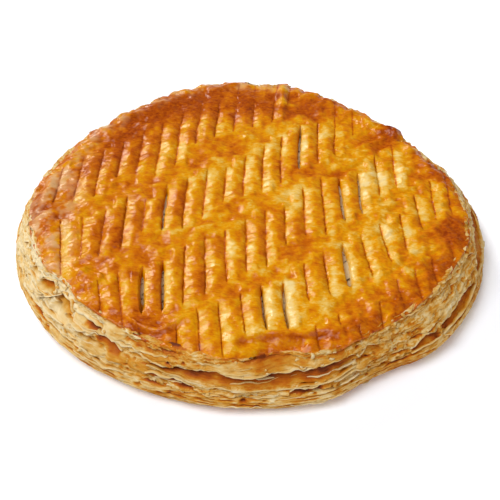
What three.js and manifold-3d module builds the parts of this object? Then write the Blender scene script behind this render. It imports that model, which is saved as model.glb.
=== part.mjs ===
// Galette des rois: a round puff-pastry cake, uncut, standing on its flat base.
// Millimetres, +Z up. The origin is on the floor under the middle, and the cuts run along Y.
//
//   pastry   one solid: base sheet, flaky side, and the domed lid with its rows of cuts
//   filling  the disc of almond filling inside, seen through the cuts that opened in the oven

import * as THREE from "three";
import { mergeVertices } from "three/addons/utils/BufferGeometryUtils.js";
import Module from "manifold-3d";

// ---- driving dimensions ----

const widestRadius = 133.6;     // of the side, where it bulges most
const widestHeight = 8;
const floorInset = 9;           // the base curls under by this much, down to the floor
const crustRadius = 120.5;      // of the lid's browned edge
const crustHeight = 30.6;       // of that edge
const domeRise = 6.2;           // of the lid's middle over its edge
const fingerPitch = 10.9;       // from one cut to the next
const fingerRise = 2.4;         // of the rounded finger between two cuts
const cutWidth = 1.0;           // of a cut that stayed shut
const cutDepth = 3.0;
const openWidth = 2.6;          // of a cut that opened down to the filling
const fillingRadius = 100;
const fillingBase = 10;
const lidThickness = 5.4;       // from the lid's surface down to the filling
const clearance = 0.3;          // between filling and pastry

const degree = Math.PI / 180;

// ---- small helpers ----

function smoothStep(from, to, value) {
  return THREE.MathUtils.smoothstep(value, from, to);
}

// 1 in the middle of a span, falling smoothly to 0 at its two ends.
function span(value, from, to, soft) {
  return smoothStep(from - soft, from + soft, value) * (1 - smoothStep(to - soft, to + soft, value));
}

function angleOf(x, y) {
  return Math.atan2(y, x) / degree;
}

// ---- outline, seen from above ----

// Where the lid's edge is drawn in between two fingers at the far side, in degrees.
const rimNotches = [27, 35, 44.5, 58.6, 74.3, 78.8, 83.6, 88, 99, 110, 116.5, 123, 130.5, 138.5, 148];

// How far the edge swells out between one notch and the next, from 0 to 1.
function scallopAt(angle) {
  let swell = 0;
  for (let i = 1; i < rimNotches.length; i += 1) {
    const start = rimNotches[i - 1];
    const along = THREE.MathUtils.clamp((angle - start) / (rimNotches[i] - start), 0, 1);
    swell = Math.max(swell, Math.sin(Math.PI * along) ** 0.6);
  }
  return swell;
}

// The browned edge of the lid is a round that the oven pulled a little square. It is drawn in at
// the near side, where the lid steps down.
function crustOutline(angle) {
  const a = angle * degree;
  const round = -Math.cos(a) - 1.7 * Math.sin(2 * a) - 2.4 * Math.sin(3 * a) + 2.8 * Math.cos(4 * a);
  const teardropTip = 3 * span(angle, 79, 83, 1.5);
  const burntNub = 4 * span(angle, 37, 44, 2);
  const nearStep = 4.5 * span(angle, -86, -77, 3) + 2.5 * span(angle, -150, -141, 3);
  const nearRight = 2.8 * span(angle, -62, -18, 7);
  const farSide = (2.6 * scallopAt(angle) - 1.5) * span(angle, 27, 148, 2);
  return crustRadius + round + teardropTip + burntNub - nearStep - nearRight + farSide;
}

function widestOutline(angle) {
  const flat = 5 * span(angle, -66, -48, 7);
  return widestRadius + 2 * Math.cos(2 * angle * degree) - flat;
}

// ---- the flaky side ----

// Hollows between the sheets: where they run round the side in degrees, their lowest and
// highest edge in millimetres, and their depth. The side faces -Y at -90 degrees. A hollow is
// deepest right under its overhanging top edge and rises out of the side towards its foot.
const sideHollows = [
  { from: -160, to: -147, low: 17.5, high: 28, depth: 4 },
  { from: -147, to: -138, low: 15.5, high: 25.5, depth: 4 },
  { from: -129, to: -120, low: 19.5, high: 26, depth: 5 },
  { from: -113, to: -102, low: 12.5, high: 17.5, depth: 3.5 },
  { from: -108, to: -90, low: 16, high: 24.5, depth: 4.5 },
  { from: -94, to: -73, low: 15.5, high: 22, depth: 5 },
  { from: -72, to: -64, low: 14, high: 25, depth: 4 },
  { from: -49, to: -38, low: 11.5, high: 18.5, depth: 6 },
  { from: -39, to: -19, low: 12, high: 17.6, depth: 6 },
  { from: -18, to: 8, low: 12, high: 22.5, depth: 5 },
  { from: 30, to: 48, low: 13, high: 19, depth: 4 },
  { from: 50, to: 76, low: 14, high: 20, depth: 4 },
  { from: 100, to: 124, low: 13, high: 19, depth: 4.5 },
  { from: 128, to: 150, low: 15, high: 21, depth: 4 },
  { from: 156, to: 172, low: 17, high: 24, depth: 3.4 },
];

function hollowDepth(hollow, angle, height) {
  const across = (2 * (angle - hollow.from)) / (hollow.to - hollow.from) - 1;
  if (Math.abs(across) >= 1) return 0;
  const arch = Math.sqrt(1 - across ** 2);
  const top = hollow.low + (hollow.high - hollow.low) * (0.45 + 0.55 * arch);
  const below = (top - height) / (hollow.high - hollow.low);
  return hollow.depth * arch ** 0.7 * smoothStep(-0.1, 0.12, below) * Math.max(0, 1 - below);
}

// Lamination: sheets of pastry that stand out and draw back as they go round.
function lamination(angle, height) {
  const a = angle * degree;
  const slow = Math.sin(3 * a + 0.55 * height) + 0.7 * Math.sin(7 * a - 0.8 * height + 1);
  const quick = Math.sin(17 * a + 1.9 * height) + 0.6 * Math.cos(29 * a - 1.3 * height);
  return 0.8 * slow + 0.5 * quick;
}

function sideRadius(angle, height) {
  const widest = widestOutline(angle);
  const crust = crustOutline(angle);
  if (height < widestHeight) {
    const curl = Math.sqrt(Math.max(0, 1 - (1 - height / widestHeight) ** 2));
    return widest - floorInset * (1 - curl) + lamination(angle, height) * smoothStep(0, 3, height);
  }
  if (height > crustHeight - 1) return crust;
  const climb = (height - widestHeight) / (crustHeight - widestHeight);
  let radius = widest + (crust - widest) * climb ** 1.1;
  radius += lamination(angle, height) * (1 - climb);
  const depths = sideHollows.map((hollow) => hollowDepth(hollow, angle, height));
  return radius - Math.max(...depths);
}

// ---- the cuts in the lid ----

// Rows of cuts climb from the near left to the far right. Each row has its first cut's place,
// going right, the step to the next, and each cut's far end and near end along Y.
const cutRows = [
  {
    first: -111.1,
    step: 11.2,
    far: [30, 38, 46, 54, 65, 74, 86, 100, 110, 120, 124],
    near: [-5, -4, 0, 17, 20, 18, 29, 49, 58, 64, 69],
  },
  {
    first: -103,
    step: 10.95,
    far: [-19, -18, -11, 0, -3, 10, 17, 25, 27, 39, 50, 60, 73, 78, 101, 90],
    near: [-65, -51, -51, -44, -32, -31, -29, -18, -5, 0, 5, 13, 27, 34, 42, 64],
  },
  {
    first: -77.5,
    step: 10.75,
    far: [-70, -63, -58, -54, -43, -35, -30, -19, -11, -8, 10, 20, 20, 27, 43, 57],
    near: [-92, -101, -92, -91, -87, -79, -71, -64, -58, -40, -35, -31, -19, -11, 5, 12],
  },
  {
    first: -36.1,
    step: 10.95,
    far: [-99, -89, -85, -78, -72, -69, -55, -44, -37, -30, -20, -11],
    near: [-120, -119, -119, -106, -103, -102, -83, -79, -72, -62, -51, -43],
  },
  { first: 94.2, step: 9.5, far: [9, 23, 33], near: [-22, -12, -5] },
  { first: 35.1, step: 10.9, far: [-99, -91, -97, -80, -63, -54], near: [-114, -99, -108, -96, -78, -80] },
  { first: 99, step: 11, far: [-44, -29], near: [-64, -50] },
  { first: 13.7, step: 9.5, far: [125, 127, 121], near: [75, 95, 110] },
];

// Cuts that gaped open, by row and place in the row, from a slight gap to the widest at 1.
const openCuts = {
  "1,5": 0.1,
  "1,12": 0.3,
  "2,2": 1,
  "2,3": 0.6,
  "2,12": 0.3,
  "2,13": 0.1,
  "3,4": 0.2,
  "3,5": 0.6,
  "3,8": 1,
};

// Cuts that lean further to the left than their neighbours do, as do all of the first row.
const extraLean = { "1,0": 0.14, "1,1": 0.08, "2,0": 0.11, "2,1": 0.1, "3,9": 0.06, "3,10": 0.07 };
const firstRowLean = 0.05;

function listCuts() {
  const cuts = [];
  cutRows.forEach((row, rowIndex) => {
    row.far.forEach((far, place) => {
      const near = row.near[place];
      const name = `${rowIndex},${place}`;
      const x = row.first + place * row.step;
      const swellLean = 0.001 * ((far + near) / 2 - 0.6 * x);
      const lean = swellLean - (extraLean[name] ?? 0) - (rowIndex === 0 ? firstRowLean : 0);
      cuts.push({ x, far, near, lean, open: openCuts[name] ?? 0 });
    });
  });
  return cuts;
}

const cuts = listCuts();

// The cuts follow the swell of the dome: where a cut is, sideways, at y.
function cutPlace(cut, y) {
  const run = y - (cut.far + cut.near) / 2;
  return cut.x + cut.lean * run + 0.0004 * run ** 2;
}

// ---- the lid's surface ----

// Swellings of the lid: middle, half widths and rise, in millimetres.
const swellings = [
  { x: 19, y: 106, halfX: 6, halfY: 24, rise: 3.4 },
  { x: 46, y: 98, halfX: 12, halfY: 14, rise: 1.8 },
  { x: 70, y: 84, halfX: 10, halfY: 12, rise: 1.6 },
  { x: 87, y: 70, halfX: 7, halfY: 8, rise: 3 },
  { x: 15, y: -106, halfX: 16, halfY: 5, rise: 1.8 },
  { x: -47, y: -99, halfX: 12, halfY: 5, rise: 1.6 },
  { x: -84, y: -67, halfX: 9, halfY: 6, rise: 1.8 },
];

function smoothLid(x, y) {
  const out = Math.min(1, Math.hypot(x, y) / crustOutline(angleOf(x, y)));
  const edgeRoll = 1.6 * (1 - smoothStep(0.94, 1, out));
  return crustHeight + (domeRise - 1.6) * (1 - out ** 3) + edgeRoll;
}

// A rounded finger stands between each cut and the next, as long as the cuts are.
function fingers(x, y) {
  let groove = 0;
  for (const cut of cuts) {
    const aside = Math.abs(x - cutPlace(cut, y)) / (fingerPitch / 2);
    if (aside < 1) {
      groove = Math.max(groove, (1 - aside) ** 1.6 * span(y, cut.near, cut.far, 3));
    }
  }
  return -fingerRise * groove;
}

function lidHeight(x, y) {
  let height = smoothLid(x, y) + 0.4 * fingerRise + fingers(x, y);
  for (const swelling of swellings) {
    const away = Math.hypot((x - swelling.x) / swelling.halfX, (y - swelling.y) / swelling.halfY);
    height += swelling.rise * (1 - smoothStep(0, 1, away));
  }
  // At the near side the lid's edge hangs lower, below a short steep face.
  const overStep = span(x, -4, 42, 5);
  return height - 2.6 * overStep * (1 - smoothStep(-1.2, 1.2, y + 108 - 0.1 * x));
}

// ---- solids ----

const wasm = await Module();
wasm.setup();

function toManifold(geometry) {
  const bare = new THREE.BufferGeometry();
  bare.setAttribute("position", geometry.getAttribute("position"));
  if (geometry.index) bare.setIndex(geometry.index);
  const merged = mergeVertices(bare, 1e-4);
  const vertProperties = new Float32Array(merged.getAttribute("position").array);
  const triVerts = new Uint32Array(merged.index.array);
  return new wasm.Manifold(new wasm.Mesh({ numProp: 3, vertProperties, triVerts }));
}

function toGeometry(manifold) {
  const mesh = manifold.getMesh();
  const geometry = new THREE.BufferGeometry();
  geometry.setAttribute("position", new THREE.BufferAttribute(new Float32Array(mesh.vertProperties), 3));
  geometry.setIndex(new THREE.BufferAttribute(new Uint32Array(mesh.triVerts), 1));
  geometry.computeVertexNormals();
  return geometry;
}

function moveVertices(geometry, move) {
  const position = geometry.getAttribute("position");
  const point = new THREE.Vector3();
  for (let i = 0; i < position.count; i += 1) {
    point.fromBufferAttribute(position, i);
    move(point);
    position.setXYZ(i, point.x, point.y, point.z);
  }
  return geometry;
}

function turned(profile, segments) {
  const points = profile.map(([radius, height]) => new THREE.Vector2(radius, height));
  return new THREE.LatheGeometry(points, segments).rotateX(Math.PI / 2);
}

// The whole cake without its lid pattern: flat base, flaky side, and a cap that rises clear
// above the lid, so that the lid's own surface can cut it.
function makeSide() {
  const segments = 112;
  const levels = [0, 2, 5, 8, 10.5, 13, 15.5, 18, 20.5, 23, 25.5, 28, crustHeight];
  const profile = [[0, 0]];
  for (const level of levels) profile.push([1, level]);
  profile.push([0.985, crustHeight + 4], [0.9, crustHeight + 12], [0, crustHeight + 14]);
  return moveVertices(turned(profile, segments), (point) => {
    const unit = Math.hypot(point.x, point.y);
    if (unit < 1e-6) return;
    const angle = angleOf(point.x, point.y);
    const radius = unit * sideRadius(angle, point.z);
    point.x = radius * Math.cos(angle * degree);
    point.y = radius * Math.sin(angle * degree);
  });
}

// A block whose top is the lid's surface.
function makeUnderLid() {
  const width = 2 * widestRadius + 20;
  const blockHeight = 60;
  const across = 82;
  const along = 26;
  const block = new THREE.BoxGeometry(width, width, blockHeight, across, along, 1);
  return moveVertices(block, (point) => {
    point.z = point.z > 0 ? lidHeight(point.x, point.y) : -5;
  });
}

// One cut: a thin lens seen from above, shallow at both ends.
function makeCutter(cut) {
  const steps = 3;
  const half = (cutWidth + (openWidth - cutWidth) * cut.open) / 2;
  const shape = new THREE.Shape();
  shape.moveTo(0, 0);
  for (let i = 1; i < steps; i += 1) shape.lineTo(half * Math.sin((Math.PI * i) / steps), i / steps);
  shape.lineTo(0, 1);
  for (let i = steps - 1; i > 0; i -= 1) shape.lineTo(-half * Math.sin((Math.PI * i) / steps), i / steps);
  const blade = new THREE.ExtrudeGeometry(shape, { depth: 1, bevelEnabled: false, curveSegments: 1 });
  return moveVertices(blade, (point) => {
    const along = point.y;
    const y = cut.near + (cut.far - cut.near) * along;
    const x = cutPlace(cut, y) + point.x;
    const full = cut.open > 0 ? lidThickness + 1.5 : cutDepth - 1;
    const depth = 0.4 + full * Math.sin(Math.PI * along) ** 0.5;
    point.z = point.z > 0.5 ? crustHeight + 20 : lidHeight(x, y) - depth;
    point.x = x;
    point.y = y;
  });
}

function fillingSolid(grow) {
  const segments = 40;
  const radius = fillingRadius + grow;
  const low = fillingBase - grow;
  const profile = [[0, low], [radius - 3, low], [radius, low + 4]];
  for (const share of [1, 0.85, 0.6, 0.3, 0]) {
    profile.push([radius * share, smoothLid(radius * share, 0) - lidThickness + grow - 5 * share ** 6]);
  }
  return turned(profile, segments);
}

function makePastry() {
  let solid = toManifold(makeSide()).intersect(toManifold(makeUnderLid()));
  for (const cut of cuts) solid = solid.subtract(toManifold(makeCutter(cut)));
  return solid.subtract(toManifold(fillingSolid(clearance)));
}

// ---- the parts ----

const pastryMaterial = new THREE.MeshStandardMaterial({ color: 0xd9962f, roughness: 0.45, metalness: 0 });
const fillingMaterial = new THREE.MeshStandardMaterial({ color: 0xa89c80, roughness: 0.8, metalness: 0 });

const pastry = new THREE.Mesh(toGeometry(makePastry()), pastryMaterial);
pastry.name = "pastry";

const filling = new THREE.Mesh(toGeometry(toManifold(fillingSolid(0))), fillingMaterial);
filling.name = "filling";

// The uneven outline is centred, so that the origin is under the middle of the cake.
pastry.geometry.computeBoundingBox();
const middle = pastry.geometry.boundingBox.getCenter(new THREE.Vector3());

const galette = new THREE.Group();
galette.add(pastry, filling);
galette.position.set(-middle.x, -middle.y, 0);

export default galette;
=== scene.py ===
import functools
import math

import bmesh
import bpy
import numpy as np
from mathutils import Matrix, Vector


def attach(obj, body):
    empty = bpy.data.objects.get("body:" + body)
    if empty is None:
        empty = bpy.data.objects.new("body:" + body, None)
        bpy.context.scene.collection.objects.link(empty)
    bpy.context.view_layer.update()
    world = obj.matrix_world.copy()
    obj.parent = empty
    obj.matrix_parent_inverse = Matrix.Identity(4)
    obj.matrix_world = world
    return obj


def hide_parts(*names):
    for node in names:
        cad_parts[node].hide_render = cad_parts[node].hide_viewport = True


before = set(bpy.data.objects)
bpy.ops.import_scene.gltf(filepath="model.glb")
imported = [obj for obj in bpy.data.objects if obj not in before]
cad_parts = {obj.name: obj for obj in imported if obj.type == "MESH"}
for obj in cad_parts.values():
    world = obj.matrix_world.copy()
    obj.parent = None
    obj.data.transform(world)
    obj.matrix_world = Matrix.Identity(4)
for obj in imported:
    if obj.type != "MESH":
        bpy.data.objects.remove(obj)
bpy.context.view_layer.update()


# ---- The bottom sheet ----
# A round of puff pastry, about a centimetre high at its edge once baked, that carries the rest.
# It is rolled from many thin sheets with butter between them, which part a little in the oven
# and show at the side as fine level layers. It lies flat, as it lay on the baking tray.

def smooth(start, end, value):
    """0 before start, 1 after end, and a soft step between them."""
    t = np.clip((value - start) / (end - start), 0, 1)
    return t * t * (3 - 2 * t)


def stretch(value, start, end, soft):
    """1 along a stretch, with a soft fall to 0 at each of its ends."""
    return smooth(start - soft, start + soft, value) * (1 - smooth(end - soft, end + soft, value))


@functools.lru_cache(maxsize=None)
def lattice_of(seed):
    return np.random.default_rng(seed).uniform(-1, 1, (32, 32, 32))


def swell(points, width, seed):
    """Random rise and fall of baked dough, -1 to 1, in swells about width millimetres across."""
    lattice = lattice_of(seed)
    place = np.asarray(points, float).T / width + 1000
    cell = np.floor(place).astype(int)
    t = place - cell
    t = t * t * (3 - 2 * t)
    total = np.zeros(place.shape[1])
    for i, j, k in np.ndindex(2, 2, 2):
        weight = (t[0] if i else 1 - t[0]) * (t[1] if j else 1 - t[1]) * (t[2] if k else 1 - t[2])
        total += weight * lattice[(cell[0] + i) % 32, (cell[1] + j) % 32, (cell[2] + k) % 32]
    return total


def ridge(value, middle, width):
    """1 along the crest of a ridge, falling off to both sides over its width."""
    return np.exp(-((value - middle) / width) ** 2)


# The cake's outline in millimetres: where the side bulges most, how far it curls under at the
# floor, and the browned edge of the lid.
WIDEST_RADIUS = 133.2
WIDEST_HEIGHT = 8
FLOOR_INSET = 9
CRUST_RADIUS = 120.5
CRUST_HEIGHT = 30.6
# Where the lid's edge is drawn in between two fingers at the far side, in degrees.
RIM_NOTCHES = [27, 35, 44.5, 58.6, 74.3, 78.8, 83.6, 88, 99, 110, 116.5, 123, 130.5, 138.5, 148]


def smooth_crust_outline(angle):
    """Radius of the lid's browned edge: a round that the oven pulled a little square."""
    a = np.radians(angle)
    pull = -np.cos(a) - 1.7 * np.sin(2 * a) - 2.4 * np.sin(3 * a) + 2.8 * np.cos(4 * a)
    near_step = 4.5 * stretch(angle, -86, -77, 3) + 2.5 * stretch(angle, -150, -141, 3)
    near_step += 2.8 * stretch(angle, -62, -18, 7)
    return CRUST_RADIUS + pull - near_step


def crust_outline(angle):
    """The same with the scallops of the far side, the tip of a swelling and a burnt nub."""
    teardrop_tip = 3 * stretch(angle, 79, 83, 1.5)
    burnt_nub = 3.6 * stretch(angle, 38.5, 42.5, 4)
    scallop = np.zeros(len(angle))
    for start, end in zip(RIM_NOTCHES, RIM_NOTCHES[1:]):
        along = np.clip((angle - start) / (end - start), 0, 1)
        scallop = np.maximum(scallop, np.sin(np.pi * along) ** 0.6)
    scallop = (2.6 * scallop - 1.5) * stretch(angle, RIM_NOTCHES[0], RIM_NOTCHES[-1], 2)
    return smooth_crust_outline(angle) + teardrop_tip + burnt_nub + scallop


def widest_outline(angle):
    """Radius of the side where it bulges most. It is flatter at the near right."""
    flat = 5 * stretch(angle, -66, -48, 7)
    return WIDEST_RADIUS + 2 * np.cos(2 * np.radians(angle)) - flat


def plain_side(angle, height):
    """Radius of the side before its layers part: curled under at the floor, drawn in to the lid."""
    widest = widest_outline(angle)
    curl = np.sqrt(np.clip(1 - (1 - np.clip(height / WIDEST_HEIGHT, 0, 1)) ** 2, 0, 1))
    below = widest - FLOOR_INSET * (1 - curl)
    climb = np.clip((height - WIDEST_HEIGHT) / (CRUST_HEIGHT - WIDEST_HEIGHT), 0, 1)
    smooth_crust = smooth_crust_outline(angle)
    above = widest + (smooth_crust - widest) * climb ** 1.1
    above += (crust_outline(angle) - smooth_crust) * climb ** 4
    return np.where(height < WIDEST_HEIGHT, below, above)


# Each sheet has patterns of its own, read this far apart.
NEXT_SHEET = np.array([0, 0, 57])


def parted_sheets(points, height, thickness, reach, warp, seed):
    """How far each sheet's edge stands out, and how open the gap over it is."""
    bend = swell(points, 30, seed) + 0.6 * swell(points, 11, seed + 1)
    warped = height + warp * (bend + 0.3 * swell(points, 4, seed + 5))
    layer = np.floor(warped / thickness)
    share = warped / thickness - layer
    here = points * [1, 1, 0] + layer[:, None] * NEXT_SHEET
    edges = []
    for sheet in (here, here + NEXT_SHEET):
        edge = swell(sheet, 21, seed + 2) + 0.5 * swell(sheet, 5, seed + 3)
        edges.append(reach * (edge + 0.4 * swell(sheet, 1.8, seed + 6)))
    out = edges[0] + (edges[1] - edges[0]) * smooth(0.8, 1, share)
    gap = np.clip(2.4 * swell(here, 10, seed + 4) - 0.2, 0, 1)
    gap = np.maximum(gap, np.clip(5 * swell(here, 2.8, seed + 7) - 2.6, 0, 1))
    gap = gap * smooth(0.5, 0.75, share) * (1 - smooth(0.93, 1, share))
    return out - 1.6 * reach * gap, gap


def mesh_of(name, body):
    """Turns a finished bmesh into a mesh."""
    mesh = bpy.data.meshes.new(name)
    body.to_mesh(mesh)
    body.free()
    return mesh


def turned_body(name, profile, steps):
    """A solid of revolution from (radius, height) pairs that start and end on the axis."""
    body = bmesh.new()
    rows = len(profile) - 1
    bmesh.ops.create_grid(body, x_segments=steps, y_segments=rows, size=1)
    for vertex in body.verts:
        turn = math.pi * vertex.co.x
        radius, height = profile[round((vertex.co.y + 1) / 2 * rows)]
        vertex.co = (radius * math.cos(turn), radius * math.sin(turn), height)
    bmesh.ops.remove_doubles(body, verts=body.verts, dist=1e-3)
    bmesh.ops.recalc_face_normals(body, faces=body.faces)
    return mesh_of(name, body)


def vertices_of(mesh):
    flat = np.empty(len(mesh.vertices) * 3, np.float32)
    mesh.vertices.foreach_get("co", flat)
    return flat.reshape(-1, 3).astype(float)


def set_vertices(mesh, points):
    """Writes millimetre points back to a mesh as metres."""
    mesh.vertices.foreach_set("co", (points * 0.001).astype(np.float32).ravel())
    mesh.update()


def add_value(mesh, name, values):
    """Stores a number for each vertex, or one for them all, for the material to read."""
    layer = mesh.attributes.new(name, "FLOAT", "POINT")
    layer.data.foreach_set("value", np.full(len(mesh.vertices), values, np.float32))


def show(piece):
    bpy.context.scene.collection.objects.link(piece)


def put_on_cake(name, mesh, material):
    """Makes a piece of the mesh and lets it move with the cake."""
    mesh.materials.append(material)
    mesh.polygons.foreach_set("use_smooth", [True] * len(mesh.polygons))
    piece = bpy.data.objects.new(name, mesh)
    show(piece)
    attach(piece, "root")
    return piece


# The patterns of the side are laid on a plain cylinder of this radius.
DRUM_RADIUS = 128


def on_drum(angle, height):
    """Points on that cylinder, from degrees and heights."""
    a = np.radians(angle)
    return np.stack([DRUM_RADIUS * np.cos(a), DRUM_RADIUS * np.sin(a), height], axis=1)


def on_side(points):
    """Angle in degrees and height of points, and the same points on the cylinder."""
    angle = np.degrees(np.arctan2(points[:, 1], points[:, 0]))
    return angle, points[:, 2], on_drum(angle, points[:, 2])


def set_radius(points, chosen, angle, radius):
    """Moves the chosen points in or out to this radius."""
    points[chosen, 0] = radius * np.cos(np.radians(angle))
    points[chosen, 1] = radius * np.sin(np.radians(angle))


# Small holes in the bottom sheet, as degrees and height in millimetres.
HOLES = [(-147, 8), (-144, 8.4), (-115.5, 8.5), (-110, 7.5), (-107.5, 9), (-105.5, 8.5), (-101, 9),
         (-93, 7), (-91, 9.5), (-88, 6.5), (-36, 7.5), (-24, 8), (-9, 7)]
HOLE_SIZE = 1.7
HOLE_DEPTH = 1.8
BASE_HEIGHT = 12.5
BASE_ROWS = 42
AROUND = 1100
TURNED_RADIUS = 125


def base_side(angle, height, drum):
    """Radius of the bottom sheet's edge, and how toasted it is, with painted shade in its gaps and
    holes.
    """
    out, gap = parted_sheets(drum, height, thickness=1.45, reach=0.6, warp=0.7, seed=11)
    fine, fine_gap = parted_sheets(drum, height, thickness=0.7, reach=0.2, warp=0.4, seed=31)
    radius = plain_side(angle, height) + (out + fine) * smooth(0, 1.5, height) - 0.7
    # Painted shade darkens the gaps between sheets, and painted light makes it paler where a sheet
    # stands out; it is also darker near the floor.
    toast_and_painted_light = 0.27 + 0.6 * gap + 0.2 * fine_gap - 0.12 * out + 0.2 * (1 - smooth(0, 3.5, height))
    # The left side is paler and more even.
    at_left = stretch(angle, -176, -116, 8)
    blotches = 0.16 * swell(drum, 12, 21) + 0.12 * swell(drum * [1, 1, 2], 3, 22)
    toast_and_painted_light += blotches * (1 - 0.5 * at_left) + 0.06 - 0.08 * at_left
    # The ledge at the foot of the large hollow at the right is brown: its baked colour with painted
    # shade from the hollow over it.
    toast_and_painted_light += 0.4 * smooth(10.4, 11.8, height) * stretch(angle, -11, 2, 3)
    for hole_angle, hole_height in HOLES:
        away = np.hypot(2.2 * (angle - hole_angle), (height - hole_height) * 2) / HOLE_SIZE
        hole = ridge(away, 0, 1) * (1 + 0.5 * swell(drum, 1.5, 23))
        radius -= HOLE_DEPTH * hole
        # The inside of each hole is painted darker, as its shade.
        toast_and_painted_light += 0.6 * hole
    return radius, toast_and_painted_light


def plain_edge(low, high, rows):
    """The upright edge of a round of dough, in many rows, before it parts into sheets."""
    return [(TURNED_RADIUS, low + (high - low) * row / rows) for row in range(rows + 1)]


# The top of the bottom sheet's edge is pinched in under the risen side.
base_profile = [(0, 0), *plain_edge(0, BASE_HEIGHT, BASE_ROWS), (0, BASE_HEIGHT)]
base_mesh = turned_body("bottom_sheet", base_profile, AROUND)
base_points = vertices_of(base_mesh)
outer = np.hypot(base_points[:, 0], base_points[:, 1]) > 1
angle, height, drum = on_side(base_points[outer])
radius, base_toast_and_painted_light = base_side(angle, height, drum)
radius -= 7 * smooth(BASE_HEIGHT - 2.2, BASE_HEIGHT, height + 0.9 * swell(drum, 14, 15))
set_radius(base_points, outer, angle, radius)
toast_and_painted_light = np.full(len(base_points), 0.4)
toast_and_painted_light[outer] = base_toast_and_painted_light
set_vertices(base_mesh, base_points)
add_value(base_mesh, "toast_and_painted_light", toast_and_painted_light)
add_value(base_mesh, "flaky", 1)

# How bright the studio makes a white surface that faces up.
STUDIO_LIGHT = 1.22


def colour(red, green, blue):
    """What the studio light shows as this screen colour, as the light values a shader takes."""
    parts = []
    for part in (red, green, blue):
        part = part / 255
        light = part / 12.92 if part < 0.04045 else ((part + 0.055) / 1.055) ** 2.4
        parts.append(light / STUDIO_LIGHT)
    return (*parts, 1)


def baked_dough(name, stops, grain, relief, grain_size, wrinkle_size, wrinkle_height, fineness,
                roughness, gloss, sheen):
    """Dough coloured by how far it is baked, and by painted light and shade laid into that same value.
    Sizes are millimetres along X, Y and Z.

    grain and relief are how much blotches and wrinkles change the colour. gloss is the weight of
    the glaze on top, and sheen is how dull that glaze is.
    """
    material = bpy.data.materials.new(name)
    material.use_nodes = True
    nodes = material.node_tree.nodes
    links = material.node_tree.links
    shader = nodes["Principled BSDF"]
    shader.inputs["Specular IOR Level"].default_value = 0.1
    shader.inputs["Coat Weight"].default_value = gloss
    shader.inputs["Coat Roughness"].default_value = sheen
    place = nodes.new("ShaderNodeTexCoord")

    def noise(size, detail, rough):
        """Random pattern with features of this size."""
        fit = nodes.new("ShaderNodeMapping")
        fit.inputs["Scale"].default_value = [1000 / part for part in size]
        links.new(place.outputs["Object"], fit.inputs["Vector"])
        pattern = nodes.new("ShaderNodeTexNoise")
        pattern.inputs["Scale"].default_value = 1
        pattern.inputs["Detail"].default_value = detail
        pattern.inputs["Roughness"].default_value = rough
        links.new(fit.outputs["Vector"], pattern.inputs["Vector"])
        return pattern.outputs["Fac"]

    def calculate(operation, first, second):
        """Arithmetic on two values or sockets."""
        sum_up = nodes.new("ShaderNodeMath")
        sum_up.operation = operation
        for socket, value in zip(sum_up.inputs, (first, second)):
            if isinstance(value, bpy.types.NodeSocket):
                links.new(value, socket)
            else:
                socket.default_value = value
        return sum_up.outputs[0]

    def read(attribute):
        layer = nodes.new("ShaderNodeAttribute")
        layer.attribute_name = attribute
        return layer.outputs["Fac"]

    blotches = noise(grain_size, 5, 0.65)
    wrinkles = noise(wrinkle_size, fineness, 0.5)
    flaky = read("flaky")
    blotched = calculate("MULTIPLY", calculate("SUBTRACT", blotches, 0.5), grain)
    wrinkled = calculate("MULTIPLY", calculate("SUBTRACT", 0.5, wrinkles), relief)
    spread = calculate("MULTIPLY", calculate("ADD", blotched, wrinkled), flaky)
    ramp = nodes.new("ShaderNodeValToRGB")
    while len(ramp.color_ramp.elements) < len(stops):
        ramp.color_ramp.elements.new(0.5)
    for element, (position, *tone) in zip(ramp.color_ramp.elements, stops):
        element.position = position
        element.color = colour(*tone)
    links.new(calculate("ADD", read("toast_and_painted_light"), spread), ramp.inputs["Fac"])
    links.new(ramp.outputs["Color"], shader.inputs["Base Color"])

    bump = nodes.new("ShaderNodeBump")
    bump.inputs["Distance"].default_value = wrinkle_height * 0.001
    links.new(flaky, bump.inputs["Strength"])
    links.new(wrinkles, bump.inputs["Height"])
    links.new(bump.outputs["Normal"], shader.inputs["Normal"])
    links.new(bump.outputs["Normal"], shader.inputs["Coat Normal"])
    rough = calculate("ADD", calculate("MULTIPLY", blotches, 0.3), roughness - 0.15)
    links.new(rough, shader.inputs["Roughness"])
    return material


# From hardly baked to burnt: how far along, and the colour there.
side_stops = [(0.0, 245, 224, 178), (0.22, 233, 195, 123), (0.4, 215, 151, 47), (0.6, 200, 112, 4),
              (0.8, 176, 82, 0), (1.0, 112, 44, 0)]
side_dough = baked_dough(
    "flaky_dough", side_stops, grain=0.5, relief=0.7, grain_size=(4, 4, 1.7),
    wrinkle_size=(4.5, 4.5, 0.85), wrinkle_height=0.9, fineness=4,
    roughness=0.7, gloss=0.1, sheen=0.3)
put_on_cake("bottom_sheet", base_mesh, side_dough)


# ---- The filling ----
# Almond paste, spread as one disc on the bottom sheet. It is grainy, a dull greyish beige, with
# dark specks of almond skin. It shows only where cuts in the lid opened over it.

FILLING_RADIUS = 100
FILLING_BASE = 10
LID_THICKNESS = 4.6
DOME_RISE = 4.6
RIM_FALL = 1.6


def plain_lid(points):
    """Height of the domed lid without its pattern."""
    angle = np.degrees(np.arctan2(points[:, 1], points[:, 0]))
    out = np.clip(np.hypot(points[:, 0], points[:, 1]) / crust_outline(angle), 0, 1)
    return CRUST_HEIGHT + DOME_RISE * (1 - out ** 3) + RIM_FALL * (1 - smooth(0.94, 1, out))


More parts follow.
